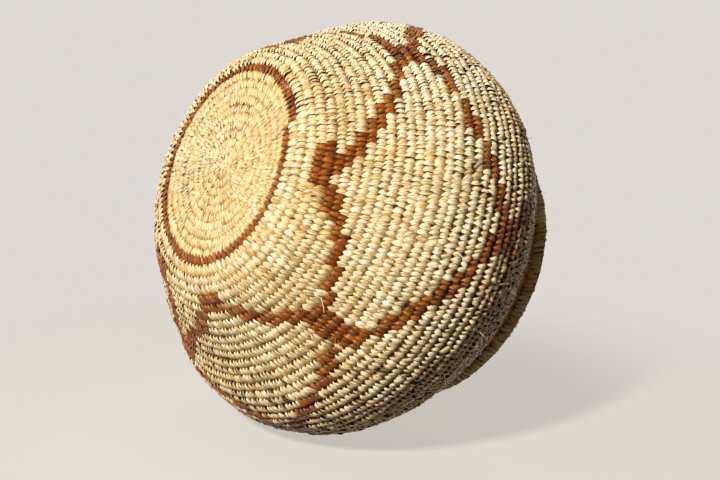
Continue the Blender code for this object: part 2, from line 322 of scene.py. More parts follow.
def wall_profile():
    """Distance, radius, height and slope of the middle of the wall, in fine steps."""
    flare = math.radians(RIM_FLARE_ANGLE)
    rows = [(0.0, 0.0, HALF_THICKNESS - WORN_FLAT_DEPTH, 0.0)]
    for length, slope, end_slope in wall_runs() + [(PROFILE_OVERRUN, flare, flare)]:
        distance, radius, height, _ = rows[-1]
        for index in range(1, PROFILE_STEPS + 1):
            share = index / PROFILE_STEPS
            here = slope + (end_slope - slope) * share
            middle = slope + (end_slope - slope) * (share - 0.5 / PROFILE_STEPS)
            radius += length / PROFILE_STEPS * math.cos(middle)
            height += length / PROFILE_STEPS * math.sin(middle)
            rows.append((distance + length * share, radius, height, here))
    return np.array(rows).T


PROFILE = wall_profile()
WALL_LENGTH = sum(length for length, _, _ in wall_runs())
PITCH = WALL_LENGTH / (COURSE_COUNT + 1.5)
RIM_HEIGHT = float(np.interp(WALL_LENGTH, PROFILE[0], PROFILE[2]))


def wall_points(distance, outward, angle):
    """Points on or near the wall. Outward is measured square to the wall, to its outer side."""
    distance = np.maximum(distance, 0.0)
    radius, height, slope = (np.interp(distance, PROFILE[0], row) for row in PROFILE[1:])
    radius = radius + outward * np.sin(slope)
    height = np.maximum(0.0, height - outward * np.cos(slope))
    rise = height / BELLY_DRIFT_HEIGHT
    share = np.clip((radius - BASE_FLAT_RADIUS) / OVAL_BLEND_LENGTH, 0.0, 1.0)
    oval = (1 - share) * BASE_OVAL * np.sin(2 * angle) + share * BELLY_OVAL * np.cos(2 * angle)
    radius = radius * (1 + oval)
    return np.stack((-RIM_DRIFT * (height / RIM_HEIGHT) ** 2 + radius * np.cos(angle),
                     -BELLY_DRIFT * rise * (2 - rise) + radius * np.sin(angle),
                     height), axis=-1)


def turn_radius(turn):
    """Distance of the bundle from the middle of the basket, never quite none."""
    return np.maximum(np.interp(np.asarray(turn) * PITCH, PROFILE[0], PROFILE[1]), PITCH * 0.35)


def turn_angle(turn):
    """Which way a place of the coil lies, in radians."""
    return math.radians(SEAM_ANGLE) + 2 * math.pi * np.asarray(turn)


def along_coil(turn, rows):
    """The value at each place of the coil, from rows of (turn, value)."""
    return np.interp(turn, *zip(*rows))


def course_fullness(turn):
    """Height of the bundle against a full course: less than one only where the rim thins down."""
    taper = RIM_TAPER_LENGTH / (2 * math.pi * NECK_RADIUS)
    left = np.clip((LAST_TURN - np.asarray(turn)) / taper, 0.0, 1.0)
    return RIM_TIP_SHARE + (1 - RIM_TIP_SHARE) * left


def coil_wander(turn):
    """How far the hand let the bundle wander along the wall: a slow, uneven wave."""
    turn = np.asarray(turn)
    calm = np.clip(turn / CALM_TURNS, 0.15, 1.0)
    return calm * sum(height * np.sin(2 * math.pi * waves * turn + start)
                      for height, waves, start in WANDER_WAVES)


def wall_swell(turn):
    """Slow lumps in the wall, square to it."""
    turn = np.asarray(turn)
    calm = np.clip((turn - BASE_RING_COURSE) / CALM_TURNS, 0.0, 1.0)
    angle = turn_angle(turn)
    return calm * sum(height * np.sin(lumps * angle + turn * shift)
                      for height, lumps, shift in SWELL_WAVES)


def coil_points(turn, along_wall, off_wall):
    """Points round the bundle. The two offsets are from its own middle, at each place of the coil."""
    full = course_fullness(turn)
    crest = np.interp(turn, (BASE_RING_COURSE, BASE_RING_COURSE + 2),
                      (1 - WORN_FLAT_DEPTH / HALF_THICKNESS, 1.0))
    outside = np.where(off_wall > 0, crest, 1.0)
    middle = np.asarray(turn) * PITCH - PITCH / 2 * (1 - full) + coil_wander(turn)
    return wall_points(middle + along_wall * full,
                       off_wall * outside * (0.5 + full / 2) + wall_swell(turn), turn_angle(turn))


# The sewing

def slant_at(turn, sewing):
    """Lean of the stitches, in radians from square to the course."""
    return np.interp(turn, (0, 9, 12, 29, 36, 52),
                     (sewing.base_slant, sewing.base_slant, sewing.flank_slant, sewing.flank_slant,
                      sewing.shoulder_slant, sewing.shoulder_slant))


def spacing_at(turn, sewing):
    """Room for one stitch along the course: what the settings give, a little more or less."""
    return np.interp(turn, (0, 5, 9, 11, 14, 16, 28, 36, 52),
                     (sewing.base_spacing * 0.95, sewing.base_spacing * 1.08, sewing.ring_spacing * 0.80,
                      sewing.ring_spacing, sewing.ring_spacing * 0.98, sewing.wall_spacing,
                      sewing.wall_spacing * 1.02, sewing.wall_spacing * 1.12, sewing.wall_spacing * 1.1))


def stitch_turns(sewing):
    """Where each stitch is on the coil, in turns. It goes down in a gap between two stitches of the
    course below, or splits one where the spacing asks for it."""
    chance = random.Random(CHANCE_SEED)
    turns = [FIRST_STITCH]
    below = 0
    while turns[-1] < LAST_TURN - END_REACH:
        last = turns[-1]
        round_length = 2 * math.pi * float(turn_radius(last))
        room = float(spacing_at(last, sewing)) / round_length
        free = last + room * chance.uniform(*ROOM_RANGE)
        if last < FREE_TURNS:
            turns.append(free)
            continue
        shift = 1 - math.tan(float(slant_at(last, sewing))) * PITCH / round_length
        while (turns[below] + turns[below + 1]) / 2 + shift < last + GAP_REACH[0] * room:
            below += 1
        gap = (turns[below] + turns[below + 1]) / 2 + shift
        held = GAP_HOLD if gap - last < GAP_REACH[1] * room else 0.0
        turns.append(held * gap + (1 - held) * free)
    return np.array(turns)


def near_line(angle, middle, half_width):
    """Whether an angle is near another, all in degrees."""
    return np.abs((angle - middle + 180) % 360 - 180) < half_width


def is_brown(turn):
    """Whether the stitch at each place of the coil is a brown one: ring, neck, blocks and lines."""
    course = np.floor(turn + 1e-9)
    angle = np.degrees(turn_angle(turn)) % 360
    brown = (course == BASE_RING_COURSE) | (course == NECK_BAND_COURSE)
    for place, half_width, first, last in BLOCKS:
        brown |= (course >= first) & (course <= last) & near_line(angle, place, half_width)
    half_width = along_coil(turn, RUN_HALF_WIDTHS)
    for line in LINES:
        line_turns, line_angles = zip(*line)
        middle, above, below = (np.interp(turn + step, line_turns, line_angles)
                                for step in (0.0, 0.5, -0.5))
        # Where a line slants strongly its runs are longer, so that each still touches the next
        reach = np.maximum(half_width, 0.55 * np.abs(above - below) + RUN_OVERLAP)
        on_line = (turn >= line_turns[0]) & (turn <= min(line_turns[-1] + 0.3, NECK_BAND_COURSE))
        brown |= on_line & near_line(angle, middle, reach)
    return brown


def worn_at(turns, radius):
    """How rough the sewing is at each stitch: one in the middle of a worn spot, none away from it."""
    worn = np.zeros(len(turns))
    for spot_turn, spot_angle, reach in WORN_SPOTS:
        turned = (np.degrees(turn_angle(turns)) - spot_angle + 180) % 360 - 180
        away = np.hypot((turns - spot_turn) * PITCH, np.radians(turned) * radius)
        worn = np.maximum(worn, np.exp(-(away / reach) ** 2))
    return worn


def stitch_plan(sewing):
    """One row of values for every stitch on the basket."""
    turns = stitch_turns(sewing)
    chance = np.random.default_rng(CHANCE_SEED)
    radius = turn_radius(turns)
    gaps = np.diff(turns) * 2 * math.pi * radius[:-1]
    room = spacing_at(turns, sewing)
    before = np.minimum(np.concatenate((gaps[:1], gaps)), room * MOST_ROOM) / 2
    after = np.minimum(np.concatenate((gaps, gaps[-1:])), room * MOST_ROOM) / 2
    count = len(turns)
    worn = worn_at(turns, radius)
    loose = along_coil(turns, LOOSENESS) + WORN_LOOSENESS * worn
    brown = is_brown(turns)
    # The splints of the belly are drawn palest; those of the shoulder and of one side are drawn darker and
    # more golden, as painted shade
    painted_shade = PAINTED_SHADE_TONE * np.clip(np.cos(turn_angle(turns) - math.radians(PAINTED_SHADE_SIDE)), 0.0, 1.0)
    paler = along_coil(turns, PALENESS) - painted_shade * along_coil(turns, PAINTED_SHADE_GROWTH)
    paler = np.where(brown, 0.0, paler)
    close = CLOSE_SHARE + CLOSE_SWING * np.cos(turn_angle(turns) - math.radians(CLOSE_SIDE))
    wide = along_coil(turns, FILLED_ROOM) * (1 + along_coil(turns, NEARNESS_TO_RING) * close)
    return {
        "turn": turns,
        "radius": radius,
        "before": before * wide * chance.uniform(*WIDTH_RANGE, count),
        "after": after * wide * chance.uniform(*WIDTH_RANGE, count),
        "slant": slant_at(turns, sewing) + loose * chance.normal(0.0, SLANT_SPREAD, count),
        "length": 1 + loose * chance.uniform(*LENGTH_RANGE, count),
        "shift": loose * chance.normal(0.0, SHIFT_SPREAD, count),
        "lift": chance.normal(1.0, LIFT_SPREAD, count),
        "roll": loose * chance.normal(0.0, ROLL_SPREAD, count),
        "split": np.clip(chance.normal(SPLIT_MIDDLE, SPLIT_SPREAD, count), 0.0, 1.0),
        "tone": np.clip(chance.normal(TONE_MIDDLE, TONE_SPREAD, count) + paler - WORN_TONE * worn,
                        0.0, 1.0),
        "start": chance.uniform(0.0, 1.0, count),
        "brown": brown,
    }


def stitch_surfaces(plan, pick, form, across):
    """The surfaces of the picked stitches, as a block of points: stitch, place along, place across.
    Many tails show a furrow, where the stitch was split by the awl."""
    place, height, width = (np.array(row)[None, :, None] for row in zip(*form))
    across = np.array(across)[None, None, :]
    fall_place = np.gradient(place * PITCH, axis=1)
    fall_height = np.gradient(height * HALF_THICKNESS, axis=1)
    steep = np.hypot(fall_place, fall_height)
    normal_place, normal_height = -fall_height / steep, fall_place / steep

    def of_stitch(key):
        return plan[key][pick][:, None, None]

    half = np.where(across < 0, of_stitch("before"), of_stitch("after")) * width
    crown = (1 - np.sqrt(1 - (ROUND_PART * across) ** 2)) / (1 - math.sqrt(1 - ROUND_PART ** 2))
    crown = ROUND_SHARE * crown + (1 - ROUND_SHARE) * np.abs(across) ** 1.2
    rows = np.linspace(0, 1, place.shape[1])[None, :, None]
    brown = of_stitch("brown")
    # A wide stitch falls away further than a narrow one, and its wide parts further than its point
    drop = (EDGE_DROP * np.where(brown, BROWN_DROP, 1.0) * (HEAD_DROP - DROP_EASE * rows) * crown
            * width ** 0.6 * (half.max(axis=2, keepdims=True) / USUAL_HALF_WIDTH) ** 0.5)
    # The furrow starts a third of the way from the head to the tail
    in_tail = np.clip(rows * 2.2 - 0.7, 0, 1)
    furrow = FURROW_DEPTH * of_stitch("split") * in_tail * (across == 0)
    chance = np.random.default_rng(CHANCE_SEED + int(pick.sum()))
    shape = (int(pick.sum()), place.shape[1], across.shape[2])
    rough = chance.normal(0.0, SKIN_SPREAD, shape)
    sideways = half * across + chance.normal(0.0, EDGE_SPREAD, shape)
    along = (place * of_stitch("length") + of_stitch("shift")) * PITCH
    lean = of_stitch("slant")
    coil = -np.tan(lean) * along + sideways * np.cos(lean)
    wall = along + sideways * np.sin(lean) - (drop + furrow) * normal_place
    off = (height * HALF_THICKNESS * of_stitch("lift") + across * of_stitch("roll") + rough
           - (drop + furrow) * normal_height)
    turn = of_stitch("turn") + coil / (2 * math.pi * of_stitch("radius"))
    points = coil_points(turn, wall, off)
    # Pale stitches touch each other along the middle, so the painted shade at their edges is weaker there
    edge = np.abs(across) * (1 - np.where(brown, 0.0, TOUCHING_SHARE) * np.sin(np.pi * rows))
    return points, sideways, along, rows, edge


def bundle_surface(first_turn, last_turn):
    """The bare bundle under the stitches, from one place of the coil to another."""
    length = 2 * math.pi * float(turn_radius((first_turn + last_turn) / 2)) * (last_turn - first_turn)
    steps = np.linspace(first_turn, last_turn, max(FEWEST_STEPS, int(length / BUNDLE_STEP)))
    around, turn = np.meshgrid(np.radians(BUNDLE_SIDES), steps, indexing="ij")
    off = HALF_THICKNESS * BUNDLE_SHARE * np.cos(around)
    wall = PITCH * BUNDLE_HALF_HEIGHT * np.sin(around)
    # Nine strands lie round the bundle, and forty of them cross any line along a turn of the coil
    strand = STRAND_HEIGHT * np.sin(9 * around + 2 * math.pi * 40 * turn)
    return coil_points(turn, wall, off + strand), around, turn


def knot_surface():
    """The bent-over grass that the coil starts from: a small closed lens in the middle of the base."""
    side, angle = np.meshgrid(np.radians(np.linspace(-90, 90, 9)), np.linspace(0, 2 * math.pi, 17),
                              indexing="ij")
    distance = KNOT_RADIUS * PITCH * np.cos(side)
    off = KNOT_HALF_HEIGHT * HALF_THICKNESS * np.sin(side)
    return wall_points(distance, off, angle), side, angle


class Cover:
    """Gathers grids of points into one mesh, with what the materials need to know of each point."""

    def __init__(self):
        self.points, self.faces, self.finish, self.values = [], [], [], []
        self.count = 0

    def add_grids(self, points, finish, **values):
        """Points is (grids, rows, columns, 3); finish gives each grid its material."""
        grids, rows, columns = points.shape[:3]
        number = np.arange(grids * rows * columns).reshape(grids, rows, columns) + self.count
        quads = np.stack((number[:, :-1, :-1], number[:, :-1, 1:], number[:, 1:, 1:],
                          number[:, 1:, :-1]), axis=-1).reshape(-1, 4)
        self.points.append(points.reshape(-1, 3))
        self.faces.append(quads)
        self.finish.append(np.repeat(np.asarray(finish), (rows - 1) * (columns - 1)))
        self.values.append({key: np.broadcast_to(value, (grids, rows, columns)).ravel()
                            for key, value in values.items()})
        self.count += grids * rows * columns

    def make(self, name, materials):
        """Makes the piece that has all the grids."""
        points, faces = np.concatenate(self.points), np.concatenate(self.faces)
        mesh = bpy.data.meshes.new(name)
        mesh.vertices.add(len(points))
        mesh.vertices.foreach_set("co", points.ravel())
        mesh.loops.add(faces.size)
        mesh.loops.foreach_set("vertex_index", faces.ravel())
        mesh.polygons.add(len(faces))
        mesh.polygons.foreach_set("loop_start", np.arange(0, faces.size, 4))
        mesh.polygons.foreach_set("loop_total", np.full(len(faces), 4))
        mesh.polygons.foreach_set("material_index", np.concatenate(self.finish).astype(np.int32))
        mesh.polygons.foreach_set("use_smooth", np.ones(len(faces), dtype=bool))
        for key in self.values[0]:
            layer = mesh.attributes.new(key, "FLOAT", "POINT")
            layer.data.foreach_set("value", np.concatenate([v[key] for v in self.values])
                                   .astype(np.float32))
        for material in materials:
            mesh.materials.append(material)
        mesh.update(calc_edges=True)
        mesh.validate()
        piece = bpy.data.objects.new(name, mesh)
        bpy.context.collection.objects.link(piece)
        return piece


# Materials

def node(tree, kind, settings=None, links=None, stops=()):
    """Adds a node, sets what settings names on it or on its sockets, and links its sockets. Stops are
    the (position, colour) places of its colour ramp, where it has one."""
    made = tree.nodes.new(kind)
    for key, value in (settings or {}).items():
        if isinstance(key, str) and hasattr(made, key) and key not in made.inputs:
            setattr(made, key, value)
        else:
            made.inputs[key].default_value = value
    for key, output in (links or {}).items():
        tree.links.new(output, made.inputs[key])
    if stops:
        places = made.color_ramp.elements
        while len(places) < len(stops):
            places.new(0.5)
        for place, (position, colour) in zip(places, stops):
            place.position = position
            place.color = colour
    return made


def new_material(name):
    """The tree of a new material, still without nodes."""
    material = bpy.data.materials.new(name)
    material.use_nodes = True
    material.node_tree.nodes.clear()
    return material.node_tree


def shaded(colour, factor=1.0):
    """A colour made darker or paler, in the four channels that a node takes."""
    return (*(min(1.0, c * factor) for c in colour), 1.0)


def tints(*rows):
    """Stops for a colour ramp, from rows of (position, sRGB hex code)."""
    return [(position, shaded(linear_colour(code))) for position, code in rows]


def splint_material(name, colour, shades, roughness, ior):
    """A split plant stem, sewn damp and dried in place. The eye sees plump satin grains with fine
    lengthwise fibres, no two quite the same tone, darker where the tails sink in."""
    tree = new_material(name)
    light, warm, dark = (linear_colour(code) for code in shades)
    tone, share, edge, side, along = (
        node(tree, "ShaderNodeAttribute", {"attribute_name": key}).outputs["Fac"]
        for key in ("tone", "share", "edge", "side_mm", "along_mm"))
    # Fibres run the length of the stitch. The tone, which differs from stitch to stitch, starts them
    # anew in each. They stand up a little, and their crests are smoother than the furrows between
    place = node(tree, "ShaderNodeCombineXYZ", links={"X": side, "Y": along, "Z": tone})
    scale = (1 / (FIBRE_SPACING * FIBRE_COARSENESS), 1 / FIBRE_RUN, 60.0)
    spread = node(tree, "ShaderNodeVectorMath", {"operation": "MULTIPLY", 1: scale},
                  {0: place.outputs[0]})
    fibre = node(tree, "ShaderNodeTexNoise", {"Scale": 1.0, "Detail": 3.0, "Roughness": 0.6},
                 {"Vector": spread.outputs[0]})
    spot = node(tree, "ShaderNodeTexCoord").outputs["Object"]
    patch = node(tree, "ShaderNodeTexNoise",
                 {"Scale": 1000 / STAIN_WIDTH, "Detail": 3.0, "Roughness": 0.55}, {"Vector": spot})
    # Tints laid over the splint's own colour: how strongly, by what, and from which to which
    layers = (
        # Painted shade: each splint is drawn warmer and darker towards its edges, where it falls away
        # between its neighbours
        (0.9, edge, tints((0.15, "#FFFFFF"), (0.60, "#F7F0DF"), (1.0, "#B39361"))),
        # The furrows between the fibres are darker
        (0.85, fibre.outputs["Fac"], tints((0.40, "#B19365"), (0.48, "#ECDFC4"), (0.54, "#FFFFFF"))),
        # So are patches where the splints were cut from darker stems or have been handled
        (0.8, patch.outputs["Fac"], tints((0.36, "#FFFFFF"), (0.60, "#F7EFDF"), (0.78, "#E7D7BF"))),
        # Painted shade where the stitch sinks in at both ends: at its head into the course below, and
        # along its tail under the heads of the next course
        (0.9, share, tints((0.0, "#E7D4B5"), (0.12, "#FFFFFF"), (0.50, "#FFFFFF"), (0.68, "#F6EBD4"),
                           (0.80, "#CEB38B"), (1.0, "#9E7C50"))),
    )
    own = ((0.0, shaded(dark)), (0.30, shaded(warm)), (0.55, shaded(colour)), (1.0, shaded(light)))
    skin = node(tree, "ShaderNodeValToRGB", links={"Fac": tone}, stops=own).outputs[0]
    for strength, source, stops in layers:
        tint = node(tree, "ShaderNodeValToRGB", links={"Fac": source}, stops=stops)
        skin = node(tree, "ShaderNodeMix", {"data_type": "RGBA", "blend_type": "MULTIPLY", 0: strength},
                    {6: skin, 7: tint.outputs[0]}).outputs[2]
    bump = node(tree, "ShaderNodeBump", {"Strength": 0.9, "Distance": 0.00045},
                {"Height": fibre.outputs["Fac"]})
    rough = node(tree, "ShaderNodeMapRange", {"From Min": 0.3, "From Max": 0.7,
                                              "To Min": roughness + 0.14, "To Max": roughness - 0.08},
                 {"Value": fibre.outputs["Fac"]})
    shader = node(tree, "ShaderNodeBsdfPrincipled", {"IOR": ior, "Metallic": 0.0},
                  {"Base Color": skin, "Roughness": rough.outputs[0], "Normal": bump.outputs[0]})
    node(tree, "ShaderNodeOutputMaterial", links={"Surface": shader.outputs[0]})


def bundle_material(name, colour):
    """Dry grass stems, laid side by side and wound. The eye sees dull lengthwise strands, tan going
    to brown, deep in the gaps between the stitches. Their colour is drawn darker than the grass itself, as
    painted shade in those gaps."""
    tree = new_material(name)
    side, along, share, under_brown = (
        node(tree, "ShaderNodeAttribute", {"attribute_name": key}).outputs["Fac"]
        for key in ("side_mm", "along_mm", "share", "tone"))
    place = node(tree, "ShaderNodeCombineXYZ", links={"X": side, "Y": along})
    scale = (1 / STEM_THICKNESS, 1 / STEM_RUN, 1.0)
    spread = node(tree, "ShaderNodeVectorMath", {"operation": "MULTIPLY", 1: scale},
                  {0: place.outputs[0]})
    stems = node(tree, "ShaderNodeTexNoise", {"Scale": 1.0, "Detail": 3.0, "Roughness": 0.65},
                 {"Vector": spread.outputs[0]})
    tint = node(tree, "ShaderNodeValToRGB", links={"Fac": stems.outputs["Fac"]},
                stops=((0.30, shaded(colour, 0.28)), (0.50, shaded(colour, 0.62)),
                       (0.68, shaded(colour)), (0.85, shaded(colour, 1.35))))
    # The grass under the base is drawn paler
    paler_grass = node(tree, "ShaderNodeMix", {"data_type": "RGBA", "blend_type": "MIX", 7: shaded(colour, 2.6)},
                 {0: share, 6: tint.outputs[0]})
    # The grass under the brown stitches is drawn darker still: partly the dye of those splints gone into
    # it, partly painted shade in the dark gaps between them
    dye_and_shade = node(tree, "ShaderNodeValToRGB", links={"Fac": under_brown},
                 stops=tints((0.0, "#FFFFFF"), (1.0, "#AA8669")))
    dyed_and_shaded = node(tree, "ShaderNodeMix", {"data_type": "RGBA", "blend_type": "MULTIPLY", 0: 1.0},
                {6: paler_grass.outputs[2], 7: dye_and_shade.outputs[0]})
    bump = node(tree, "ShaderNodeBump", {"Strength": 0.8, "Distance": 0.0003},
                {"Height": stems.outputs["Fac"]})
    shader = node(tree, "ShaderNodeBsdfPrincipled", {"IOR": 1.45, "Roughness": 0.82},
                  {"Base Color": dyed_and_shaded.outputs[2], "Normal": bump.outputs[0]})
    node(tree, "ShaderNodeOutputMaterial", links={"Surface": shader.outputs[0]})


def basket_materials(colours):
    """The four finishes, made once: cream, straw and brown splint, and the grass bundle."""
    names = [name for name, *_ in SPLINTS] + ["grass_bundle"]
    if names[0] not in bpy.data.materials:
        for name, setting, *shades, roughness, ior in SPLINTS:
            splint_material(name, getattr(colours, setting), shades, roughness, ior)
        bundle_material(names[GRASS], colours.bundle)
    return [bpy.data.materials[name] for name in names]


# Pieces

PLAN = {}


def plan_now():
    """The stitch plan, worked out once."""
    if not PLAN:
        PLAN.update(stitch_plan(bpy.context.scene.basket_sewing))
    return PLAN


def add_stitches(cover, plan, pick, form, across, pale):
    """Adds the picked stitches to a cover. Pale is the number of the finish of its pale stitches."""
    points, side, along, share, edge = stitch_surfaces(plan, pick, form, across)
    tone = plan["tone"][pick][:, None, None]
    start = plan["start"][pick][:, None, None]
    cover.add_grids(points, np.where(plan["brown"][pick], BROWN, pale), tone=tone, share=share, edge=edge,
                    side_mm=side * 1000 + GRAIN_SHIFT[0] * start,
                    along_mm=along * 1000 + GRAIN_SHIFT[1] * start)


def add_bundle(cover, first_turn, last_turn):
    """Adds a stretch of the bare bundle to a cover."""
    points, around, turn = bundle_surface(first_turn, last_turn)
    length = turn * 2 * math.pi * turn_radius(turn)
    paler_grass = along_coil(turn, PALER_GRASS)
    cover.add_grids(points[None], [GRASS], tone=is_brown(turn)[None].astype(float), share=paler_grass[None],
                    edge=0.5, side_mm=around[None] * BUNDLE_GRAIN_RADIUS, along_mm=length[None] * 1000)


def add_loose_ends(cover, plan, pick, chance, count):
    """Splint ends that have worked loose: slivers that stand off the stitches. Each thins down to a
    quarter of its width and curls up towards its tip."""
    for _ in range(count):
        index = int(chance.choice(np.flatnonzero(pick)))
        turn, radius = plan["turn"][index], plan["radius"][index]
        length, lift = chance.uniform(*LOOSE_LENGTH), chance.uniform(*LOOSE_LIFT)
        heading = chance.uniform(*LOOSE_HEADING)
        steps = np.linspace(0, 1, 5)
        width = LOOSE_HALF_WIDTH * (1 - 0.75 * steps)
        coil = length * steps * math.sin(heading)
        wall = chance.uniform(*LOOSE_PLACE) * PITCH + length * steps * math.cos(heading)
        off = HALF_THICKNESS * 0.98 + length * lift * steps ** 1.6
        across = np.array((-1.0, 1.0))
        points = coil_points(turn + (coil[:, None] + width[:, None] * across * math.cos(heading))
                             / (2 * math.pi * radius),
                             wall[:, None] - width[:, None] * across * math.sin(heading),
                             off[:, None])
        cover.add_grids(points[None], [BROWN if plan["brown"][index] else STRAW], tone=0.8, share=0.4,
                        edge=0.0, side_mm=0.0, along_mm=steps[None, :, None] * 5)


def node_of_course(course):
    """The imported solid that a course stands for."""
    if course == 0:
        return "start_knot"
    found = [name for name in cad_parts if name.endswith(f"_course_{course:02d}")]
    if len(found) != 1:
        raise RuntimeError(f"no single solid for course {course}")
    return found[0]


def sew_course(course):
    """Makes one course: its bundle, its stitches outside and inside, and its loose ends."""
    plan = plan_now()
    sewing = bpy.context.scene.basket_sewing
    solid = node_of_course(course)
    cover = Cover()
    pick = np.floor(plan["turn"]).astype(int) == course
    pale = CREAM if course < BASE_RING_COURSE else STRAW
    over_edge = pick & (plan["turn"] > LAST_TURN - 1)
    under_next = pick & ~over_edge
    if over_edge.any():
        add_stitches(cover, plan, over_edge, RIM_STITCH, ACROSS_OUTSIDE, pale)
    if under_next.any():
        form = next(form for last, form in STITCH_FORMS if course <= last)
        add_stitches(cover, plan, under_next, form, ACROSS_OUTSIDE, pale)
        add_stitches(cover, plan, under_next, INNER_STITCH, ACROSS_INSIDE, pale)
    add_bundle(cover, max(course, BUNDLE_START), min(course + 1.0, LAST_TURN))
    if course == 0:
        points, side, angle = knot_surface()
        cover.add_grids(points[None], [pale], tone=0.3, share=0.5, edge=0.2,
                        side_mm=side[None] * KNOT_GRAIN_RADIUS, along_mm=angle[None] * KNOT_GRAIN_RADIUS)
    share = pick.sum() / len(plan["turn"])
    chance = np.random.default_rng(CHANCE_SEED + course)
    # A little is added to its share of them, so that a short course has one too
    add_loose_ends(cover, plan, pick, chance, int(round(share * sewing.loose_ends + 0.3)))
    piece = cover.make("sewn_" + solid, basket_materials(bpy.context.scene.basket_colours))
    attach(piece, "root")
    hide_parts(solid)


class BASKET_OT_start_knot(bpy.types.Operator):
    """Sews the knot that the coil starts from"""
    bl_idname = "basket.start_knot"
    bl_label = "Start knot"

    def execute(self, context):
        sew_course(0)
        return {"FINISHED"}


class BASKET_OT_base_courses(bpy.types.Operator):
    """Sews the flat base, in fine cream stitches"""
    bl_idname = "basket.base_courses"
    bl_label = "Base courses"

    def execute(self, context):
        for course in range(1, BASE_RING_COURSE):
            sew_course(course)
        return {"FINISHED"}


class BASKET_OT_base_ring(bpy.types.Operator):
    """Sews the brown ring round the base"""
    bl_idname = "basket.base_ring"
    bl_label = "Base ring"

    def execute(self, context):
        sew_course(BASE_RING_COURSE)
        return {"FINISHED"}


class BASKET_OT_wall_courses(bpy.types.Operator):
    """Sews the flank, the belly and the shoulder, with the brown pattern"""
    bl_idname = "basket.wall_courses"
    bl_label = "Wall courses"

    def execute(self, context):
        for course in range(BASE_RING_COURSE + 1, NECK_BAND_COURSE):
            sew_course(course)
        return {"FINISHED"}


class BASKET_OT_neck_course(bpy.types.Operator):
    """Sews the brown course in the groove of the neck"""
    bl_idname = "basket.neck_course"
    bl_label = "Neck course"

    def execute(self, context):
        sew_course(NECK_BAND_COURSE)
        return {"FINISHED"}


class BASKET_OT_rim_courses(bpy.types.Operator):
    """Sews the flared rim, whose last course is bound over its edge"""
    bl_idname = "basket.rim_courses"
    bl_label = "Rim courses"

    def execute(self, context):
        for course in range(NECK_BAND_COURSE + 1, COURSE_COUNT + 1):
            sew_course(course)
        return {"FINISHED"}


# Stage

# Where the camera is, and what lies to its right, above it and ahead. It looks at the base from
# below, so that in its picture the basket lies on its side.
EYE = Vector((-0.59332, -0.15929, -0.36044))
EYE_RIGHT = Vector((-0.62483, 0.24949, 0.73982))
EYE_UP = Vector((0.0, 0.94757, -0.31955))
EYE_AHEAD = Vector((0.78076, 0.19967, 0.59207))
EYE_FOCAL_LENGTH = 75.0         # millimetres, on a sensor 36 wide
SENSOR_WIDTH = 36.0
FLOOR_TILT = 14.0               # how far it looks down on the floor that lies under it there, degrees
SIDE_FLOOR_REACH = 0.27         # that floor's radius
SHELF_FLOOR_REACH = 0.75        # radius of the floor that the basket really stands on
SHELF_FLOOR_DROP = 0.0002       # how far that one is below the base
FLOOR_CORNERS = 64
PLAIN_SHARE = 0.72              # share of a floor's colour that is the same in light and in shadow
FADE_START = 0.35               # where a floor starts to fade out, as a share of its radius
BASKET_MIDDLE = Vector((0.0, 0.0, RIM_HEIGHT / 2))

FILL_COLOUR = (1.0, 0.94, 0.86)
# The soft square lamps: name, direction from the basket, distance, width, watts and colour. Only the
# first is on the camera's side. The others are wide, for the sides that the camera does not see.
LAMPS = (
    ("key_lamp", EYE_RIGHT * -0.40 + EYE_UP * 0.39 - EYE_AHEAD * 0.83, 1.3, 0.15, 24.3, (1.0, 0.95, 0.90)),
    ("back_lamp", Vector((0.93, 0.25, 0.30)), 1.5, 1.3, 10.5, FILL_COLOUR),
    ("top_lamp", Vector((0.62, 0.18, 0.76)), 1.5, 1.3, 8.0, FILL_COLOUR),
    ("left_lamp", Vector((0.42, 0.80, 0.30)), 1.5, 1.1, 4.5, FILL_COLOUR),
    ("right_lamp", Vector((0.52, -0.76, 0.26)), 1.5, 1.1, 3.2, FILL_COLOUR),
)
AROUND_COLOUR = (1.0, 0.86, 0.64)           # of the faint light that comes from all sides
AROUND_LIGHT = 0.09             # its strength


def seen_ray(tree):
    """One for the rays that show a surface as it is: straight, through glass or in a reflection."""
    rays = node(tree, "ShaderNodeLightPath")
    direct = node(tree, "ShaderNodeMath", {"operation": "MAXIMUM"},
                  {0: rays.outputs["Is Camera Ray"], 1: rays.outputs["Is Transmission Ray"]})
    return node(tree, "ShaderNodeMath", {"operation": "MAXIMUM"},
                {0: direct.outputs[0], 1: rays.outputs["Is Glossy Ray"]}).outputs[0]


def floor_material(name, colour, reach):
    """Matt painted board. The eye sees a plain pale ground with a light shadow, that fades out into
    the background."""
    tree = new_material(name)
    board = node(tree, "ShaderNodeBsdfPrincipled", {"Base Color": (*colour, 1), "Roughness": 0.95,
                                                    "IOR": 1.3})
    plain = node(tree, "ShaderNodeEmission", {"Color": (*colour, 1)}, {"Strength": seen_ray(tree)})
    paint = node(tree, "ShaderNodeMixShader", {0: PLAIN_SHARE},
                 {1: board.outputs[0], 2: plain.outputs[0]})
    clear = node(tree, "ShaderNodeBsdfTransparent")
    spot = node(tree, "ShaderNodeTexCoord").outputs["Object"]
    away = node(tree, "ShaderNodeVectorMath", {"operation": "LENGTH"}, {0: spot})
    fade = node(tree, "ShaderNodeMapRange", {"interpolation_type": "SMOOTHSTEP",
                                             "From Min": reach * FADE_START, "From Max": reach,
                                             "To Min": 0.0, "To Max": 1.0},
                {"Value": away.outputs["Value"]})
    back = node(tree, "ShaderNodeNewGeometry").outputs["Backfacing"]
    hidden = node(tree, "ShaderNodeMath", {"operation": "MAXIMUM"}, {0: fade.outputs[0], 1: back})
    mix = node(tree, "ShaderNodeMixShader", links={"Fac": hidden.outputs[0], 1: paint.outputs[0],
                                                   2: clear.outputs[0]})
    node(tree, "ShaderNodeOutputMaterial", links={"Surface": mix.outputs[0]})


